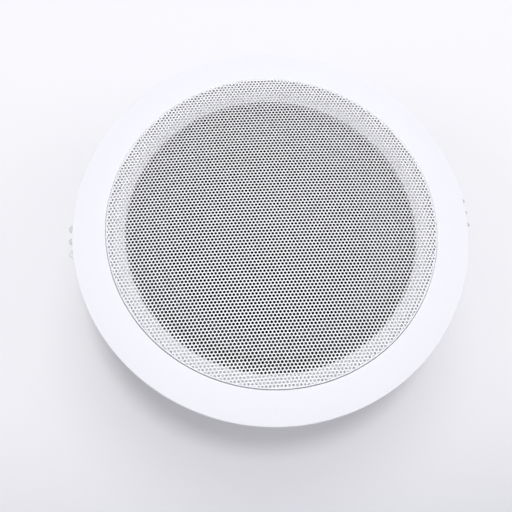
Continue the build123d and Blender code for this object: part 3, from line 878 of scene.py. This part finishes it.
# spring clips: stamped arm with three teeth, hinge pin and torsion spring
clip = {
    "angle": 50.0, "low": 3.05, "high": 4.25, "start": 5.5, "tabEnd": 16.0, "tabRound": 3.6, "pinHole": 1.6,
    "half": 9.2, "sheet": 1.2, "tip": 102.6, "tipLow": -3.8, "tipHigh": -2.6,
    "toothPitch": 6.6, "toothTip": 1.4, "toothDepth": 3.4, "toothRoot": 0.25, "teeth": 3, "bend": 1.2,
    "edge": 0.16, "lap": 0.2, "hair": 0.02, "past": 1.0,
    "beadStart": 16.0, "beadEnd": 27.0, "beadHalf": 2.2, "beadRise": 0.6, "beadSink": 0.4, "beadEdge": 0.45,
}
pin = {"radius": 1.5, "half": 12.6, "soft": 0.35}
torsion = {"wire": 0.4, "coil": 2.6, "pitch": 1.6, "turns": 4, "leg": 10.0, "runs": 28, "legRuns": 4}


def armPoint(c, along, above):
    turn = radians(c["angle"])
    return (
        pivot[0] + along * cos(turn) - above * sin(turn),
        pivot[1] + along * sin(turn) + above * cos(turn),
    )


def armAtLevel(c, above, level):
    turn = radians(c["angle"])
    return armPoint(c, (level - pivot[1] - above * cos(turn)) / sin(turn), above)


def clipArm(c):
    web = rounded([
        armPoint(c, c["start"], c["low"]), (*armAtLevel(c, c["low"], c["tipLow"]), c["bend"]),
        (c["tip"], c["tipLow"]), (c["tip"], c["tipHigh"]),
        (*armAtLevel(c, c["high"], c["tipHigh"]), c["bend"] + c["sheet"]), armPoint(c, c["start"], c["high"]),
    ], 6)
    body = placed(stamped([web], -c["half"], c["half"], c["edge"]), upright)
    under = c["high"] - c["lap"]
    tab = hull(circle(c["tabRound"], *pivot, 40) + [
        armPoint(c, c["start"], under), armPoint(c, c["tabEnd"], under),
    ])
    tabs = [
        placed(stamped([tab, circle(c["pinHole"], *pivot)], low, low + c["sheet"], c["edge"]), upright)
        for low in (-c["half"] + c["hair"], c["half"] - c["sheet"] - c["hair"])
    ]
    # long pressed bead along the middle of the arm
    ends = [(c["beadStart"], 0.0), (c["beadEnd"], 0.0)]
    bead = hull([p for x, y in ends for p in circle(c["beadHalf"], x, y)])
    lift = Matrix.Translation((pivot[0], 0, pivot[1])) @ Matrix.Rotation(-radians(c["angle"]), 4, "Y")
    flatBead = stamped([bead], c["high"] - c["beadSink"], c["high"] + c["beadRise"], c["beadEdge"])
    body = combined(body, [*tabs, placed(flatBead, lift)])
    gap = (c["toothPitch"] - c["toothTip"]) / 2
    root, past = c["tip"] - c["toothDepth"], c["past"]
    wide = gap * (c["toothDepth"] + past) / c["toothDepth"]
    notches = []
    for n in range(c["teeth"] + 1):
        y = (n - c["teeth"] / 2) * c["toothPitch"]
        notch = rounded([(root, y, c["toothRoot"]), (c["tip"] + past, y - wide), (c["tip"] + past, y + wide)])
        notches.append(stamped([notch], c["tipLow"] - past, c["tipHigh"] + past))
    return combined(body, notches, "DIFFERENCE")


def torsionSpring(t, c):
    rise = t["pitch"] * t["turns"]
    legRuns = t["legRuns"]
    line = []
    arm = radians(90 - c["angle"])
    last = 2 * pi * t["turns"] + arm
    count = round(t["runs"] * last / (2 * pi))
    tail = [(t["coil"], -t["leg"] * (1 - n / legRuns), 0.0) for n in range(legRuns)]
    for n in range(count + 1):
        a = last * n / count
        line.append((*around(t["coil"], a), rise * min(1.0, a / (2 * pi * t["turns"]))))
    tip = Vector(line[-1])
    along = Vector((-sin(arm), cos(arm), 0))
    line = tail + line + [tuple(tip + along * (t["leg"] * n / legRuns)) for n in range(1, legRuns + 1)]
    return [(pivot[0] - x, z - rise / 2, pivot[1] + y) for x, y, z in line]


def hingePin(p):
    outline = rounded([
        (0.0, -p["half"]), (p["radius"], -p["half"], p["soft"]),
        (p["radius"], p["half"], p["soft"]), (0.0, p["half"]),
    ], 3)
    spot = Matrix.Translation((pivot[0], 0, pivot[1]))
    return placed(lathe(outline, 32), upright, spot)


armShape, springLine = clipArm(clip), torsionSpring(torsion, clip)
reach = torsion["pitch"] * torsion["turns"] / 2
for side, turn in bothSides.items():
    axis = Vector((pivot[0], 0, pivot[1]))
    start, end = turn @ (axis - Vector((0, reach, 0))), turn @ (axis + Vector((0, reach, 0)))
    piece(f"{side}_arm", placed(armShape, turn), f"{side}_clip", "zinc_steel", f"{side}_clip_arm")
    pinShape = placed(hingePin(pin), turn)
    piece(f"{side}_pin", pinShape, "housing", "zinc_steel", f"{side}_hinge_pin", finish=springSteel)
    coilShape = placed(wire(springLine, torsion["wire"]), turn)
    twist = ("housing", f"{side}_clip", start, end)
    piece(f"{side}_spring", coilShape, twist, "zinc_steel", f"{side}_torsion_spring", finish=springSteel)
print("spring clips done")

# push terminal on the basket leg at +Y, in its own frame: x along it, z away from the leg
terminal = {
    "origin": (0.0, 57.495, -28.44), "lean": (0.0, 0.6211, -0.7838),
    "half": (12.0, 8.0), "corner": 1.2, "base": 1.5, "top": 11.0, "edge": 0.45,
    "buttonX": 6.0, "buttonY": -2.5, "mouth": (3.7, 3.2), "chamber": (4.4, 3.9), "roof": 9.0,
    "wireX": 6.8, "wireY": 5.0, "wireHole": 1.3, "funnel": 2.1, "funnelDepth": 1.0, "wireEnd": 4.0,
    "rivetHole": 1.6, "tagX": 8.4, "tagSlot": (0.5, 2.1), "tagRoom": 6.6, "tagCorner": 0.05,
    "plateEdge": 0.12, "past": 1.0,
}
button = {
    "stem": (3.5, 3.0), "collar": (4.2, 3.7), "collarLow": 5.0, "collarTop": 8.8, "top": 15.0, "edge": 0.5,
    "gripPitch": 1.5, "gripHalf": 0.32, "gripDepth": 0.4, "past": 1.0,
    "springWire": 0.3, "springCoil": 2.2, "springTurns": 3, "springGap": 0.35, "springRuns": 24,
}
tag = {
    "half": 2.0, "thick": 0.8, "low": -8.0, "high": 6.5, "hole": 0.75, "holeUp": 1.7, "edge": 0.12,
    "lowRound": 1.4, "highRound": 0.3,
}
rivet = {  # lines of (radius, height, rounding)
    "tail": [(0.0, -2.2), (1.9, -2.2, 0.3), (2.6, -1.5, 0.3), (2.6, -1.3)],
    "shank": [(1.5, -1.3), (1.5, 11.0)],
    "head": [(2.6, 11.0), (2.6, 11.2, 0.3), (1.8, 11.9, 0.3)],
    "eye": [(0.8, 11.9, 0.2), (0.5, 11.2, 0.1), (0.0, 11.2)],
}
lead = {
    "radius": 0.7, "startY": 7.8, "startZ": -7.3, "coneReach": 30.0, "coneZ": -25.475, "sag": 7.0, "runs": 24,
}


def terminalFrame(t):
    z = Vector(t["lean"]).normalized()
    x = Vector((1, 0, 0))
    y = z.cross(x)
    turn = Matrix((x, y, z)).transposed().to_4x4()
    return Matrix.Translation(t["origin"]) @ turn


def boxAt(x, y, half, bottom, top, edge=0.0, corner=0.3):
    outline = roundedBox(x - half[0], y - half[1], x + half[0], y + half[1], corner)
    return stamped([outline], bottom, top, edge)


def terminalBlock(t):
    width, height = t["half"]
    outline = roundedBox(-width, -height, width, height, t["corner"])
    body = stamped([outline], t["base"], t["top"], t["edge"])
    low, inside, high = t["base"] - t["past"], t["base"] + t["past"], t["top"] + t["past"]
    cuts = []
    for side in (-1, 1):
        x, y = side * t["buttonX"], t["buttonY"]
        cuts.append(boxAt(x, y, t["mouth"], inside, high))
        cuts.append(boxAt(x, y, t["chamber"], low, t["roof"]))
        funnel = lathe([
            (0, t["wireEnd"]), (t["wireHole"], t["wireEnd"]), (t["wireHole"], t["top"] - t["funnelDepth"]),
            (t["funnel"], t["top"]), (t["funnel"], high), (0, high),
        ], 24)
        cuts.append(placed(funnel, Matrix.Translation((side * t["wireX"], t["wireY"], 0))))
        cuts.append(boxAt(side * t["tagX"], t["wireY"], t["tagSlot"], low, t["tagRoom"], 0.0, t["tagCorner"]))
    cuts.append(stamped([circle(t["rivetHole"], 0, t["wireY"])], low, high))
    return combined(body, cuts, "DIFFERENCE")


def terminalPlate(t):
    width, height = t["half"]
    outlines = [roundedBox(-width, -height, width, height, t["corner"])]
    outlines.append(circle(t["rivetHole"], 0, t["wireY"]))
    for side in (-1, 1):
        x, (a, b) = side * t["tagX"], t["tagSlot"]
        outlines.append(roundedBox(x - a, t["wireY"] - b, x + a, t["wireY"] + b, t["tagCorner"]))
    return stamped(outlines, 0.0, t["base"], t["plateEdge"])


def pushButton(b):
    body = combined(
        boxAt(0, 0, b["stem"], b["collarTop"] - b["past"], b["top"], b["edge"], 0.8),
        [boxAt(0, 0, b["collar"], b["collarLow"], b["collarTop"], 0.1)],
    )
    grip = (b["stem"][0] + b["past"], b["gripHalf"])
    low, high = b["top"] - b["gripDepth"], b["top"] + b["past"]
    grips = [boxAt(0, n * b["gripPitch"], grip, low, high, 0.0, 0.1) for n in (-1, 0, 1)]
    return combined(body, grips, "DIFFERENCE")


def buttonSpring(b, base):
    low, high = base + b["springGap"], b["collarLow"] - b["springGap"]
    count = b["springRuns"] * b["springTurns"]
    line = []
    for n in range(count + 1):
        a = 2 * pi * b["springTurns"] * n / count
        line.append((*around(b["springCoil"], a), low + (high - low) * n / count))
    return wire(line, b["springWire"], 8)


def contactTag(g):
    half, depth = g["half"], g["thick"] / 2
    outline = rounded([
        (-half, g["low"], g["lowRound"]), (half, g["low"], g["lowRound"]),
        (half, g["high"], g["highRound"]), (-half, g["high"], g["highRound"]),
    ])
    eye = circle(g["hole"], 0, g["low"] + g["holeUp"], 18)
    return placed(stamped([outline, eye], -depth, depth, g["edge"]), acrossX)


def blockRivet(r):
    return lathe(rounded([*r["tail"], *r["shank"], *r["head"], *r["eye"]], 3), 32)


seat = terminalFrame(terminal)
piece("terminal_housing", placed(terminalBlock(terminal), seat), "housing", "black_plastic", "terminal_block")
piece("terminal_base", placed(terminalPlate(terminal), seat), "housing", "black_plastic", "terminal_plate")
rivetSpot = Matrix.Translation((0, terminal["wireY"], 0))
rivetShape = placed(blockRivet(rivet), rivetSpot, seat)
piece("block_rivet", rivetShape, "housing", "rivet_metal", "terminal_rivet")
buttonShape, springShape = pushButton(button), buttonSpring(button, terminal["base"])
leadEnd = sqrt(lead["coneReach"] ** 2 - terminal["tagX"] ** 2)
for side, colour in ((-1, "red"), (1, "black")):
    spot = Matrix.Translation((side * terminal["buttonX"], terminal["buttonY"], 0))
    start = seat @ spot @ Vector((0, 0, terminal["base"] + button["springGap"]))
    end = seat @ spot @ Vector((0, 0, button["collarLow"] - button["springGap"]))
    body = f"{colour}_button"
    capShape = placed(buttonShape, spot, seat)
    piece(f"{colour}_button_cap", capShape, body, f"{colour}_plastic", f"{colour}_push_button")
    coilShape = placed(springShape, spot, seat)
    squash = ("housing", body, start, end)
    piece(f"{colour}_button_coil", coilShape, squash, "zinc_steel", f"{body}_spring", finish=springSteel)
    tagSpot = Matrix.Translation((side * terminal["tagX"], terminal["wireY"], 0))
    piece(f"{colour}_tag", placed(contactTag(tag), tagSpot, seat), "housing", "tag_brass", "contact_tags")
    first = seat @ Vector((side * terminal["tagX"], lead["startY"], lead["startZ"]))
    last = Vector((side * terminal["tagX"], leadEnd, lead["coneZ"]))
    line = []
    for n in range(lead["runs"] + 1):
        share = n / lead["runs"]
        line.append(first.lerp(last, share) - Vector((0, 0, 4 * lead["sag"] * share * (1 - share))))
    sway = ("housing", "cone_assembly", first, last)
    piece(f"{colour}_lead", wire(line, lead["radius"]), sway, "copper", "tinsel_leads", finish=tinselBraid)
print("terminal and leads done")

# pale floor under the magnet, its colour painted darker towards the near side as painted shade;
# soft light from above, from the far side and from both sides
stage = {  # level and half in mm, starts and ends of the painted shade towards the near side in m
    "level": -68.55, "half": 6000.0, "near": (0.66, 0.665, 0.71), "far": (0.94, 0.937, 0.97),
    "glow": 0.08, "glowStart": 0.2, "glowEnd": 0.75, "shadeStart": -0.19, "shadeEnd": -0.01,
    "world": 0.41, "sky": (0.975, 0.97, 1.0),
}
lamps = {  # place in mm, size in m, power in W
    "highBox": ((20.0, 60.0, 1500.0), 0.3, 6.9),
    "farBox": ((110.0, 640.0, 1280.0), 0.9, 4.7),
    "leftBox": ((-1100.0, -100.0, 750.0), 0.9, 2.6),
    "rightBox": ((1100.0, -100.0, 750.0), 0.9, 2.6),
}
view = {
    "place": (0.0, -123.6, 312.1), "turn": -15.2, "aim": (-5.25, -19.38, 4.4), "roll": 7.374, "lens": 46.34,
}


# far from the part the floor turns into the white of the room for the camera; near it, it keeps the shadow
def paleFloor(s):
    f = Finish("paleFloor")
    # painted shade: the floor colour darkens from far to near along Y, standing in for light falling off
    paintedFalloff = f.clear(f.axis("Y") + 0.05 * f.noise(400, 2), s["shadeStart"], s["shadeEnd"])
    colour = f.mix(paintedFalloff, s["near"], s["far"])
    rough = 0.85 + 0.05 * f.noise(3, 2)
    body = f.add("ShaderNodeBsdfPrincipled", None, {"Base Color": colour, "Roughness": rough})
    away = f.clear(f.fromAxis(), s["glowStart"], s["glowEnd"])
    glow = f.add("ShaderNodeEmission", None, {"Color": f.mix(away, colour, s["sky"]), "Strength": 1.0})
    seen = f.add("ShaderNodeLightPath", out="Is Camera Ray")
    share = s["glow"] + (1 - s["glow"]) * away
    both = f.add("ShaderNodeMixShader", None, {0: seen * share, 1: body, 2: glow})
    f.add("ShaderNodeOutputMaterial", None, {"Surface": both})
    return f.material


edge = stage["half"] * mm
floorMesh = bpy.data.meshes.new("floor")
corners = [(-edge, -edge, 0), (edge, -edge, 0), (edge, edge, 0), (-edge, edge, 0)]
floorMesh.from_pydata(corners, [], [(0, 1, 2, 3)])
floorMesh.materials.append(paleFloor(stage))
floor = linked("floor", floorMesh)
floor.location.z = stage["level"] * mm

world = bpy.data.worlds.new("softRoom")
world.use_nodes = True
scene.world = world
room = Finish("softRoom", world.node_tree)
rays = ("Is Camera Ray", "Is Glossy Ray", "Is Transmission Ray")
seen, mirrored, through = (room.add("ShaderNodeLightPath", out=ray) for ray in rays)
shown = seen.mathNode("MAXIMUM", seen.mathNode("MAXIMUM", seen, mirrored), through)
soft, white = (
    room.add("ShaderNodeBackground", None, {"Color": (*stage["sky"], 1.0), "Strength": strength})
    for strength in (stage["world"], 1.0)
)
both = room.add("ShaderNodeMixShader", None, {0: shown, 1: soft, 2: white})
room.add("ShaderNodeOutputWorld", None, {"Surface": both})

for name, (place, size, power) in lamps.items():
    lampData = bpy.data.lights.new(name, "AREA")
    lampData.shape = "DISK"
    lampData.size = size
    lampData.energy = power
    lamp = linked(name, lampData)
    lamp.location = Vector(place) * mm
    lamp.rotation_euler = (-lamp.location).to_track_quat("-Z", "Y").to_euler()

cameraData = bpy.data.cameras.new("camera")
cameraData.lens = view["lens"]
camera = linked("camera", cameraData)
swing = Matrix.Rotation(radians(view["turn"]), 3, "Z")
camera.location = swing @ Vector(view["place"]) * mm
look = swing @ Vector(view["aim"]) * mm - camera.location
camera.rotation_mode = "QUATERNION"
camera.rotation_quaternion = look.to_track_quat("-Z", "Y") @ Quaternion((0, 0, 1), radians(view["roll"]))
scene.camera = camera
scene.view_settings.view_transform = "Standard"

print("stage and camera set")
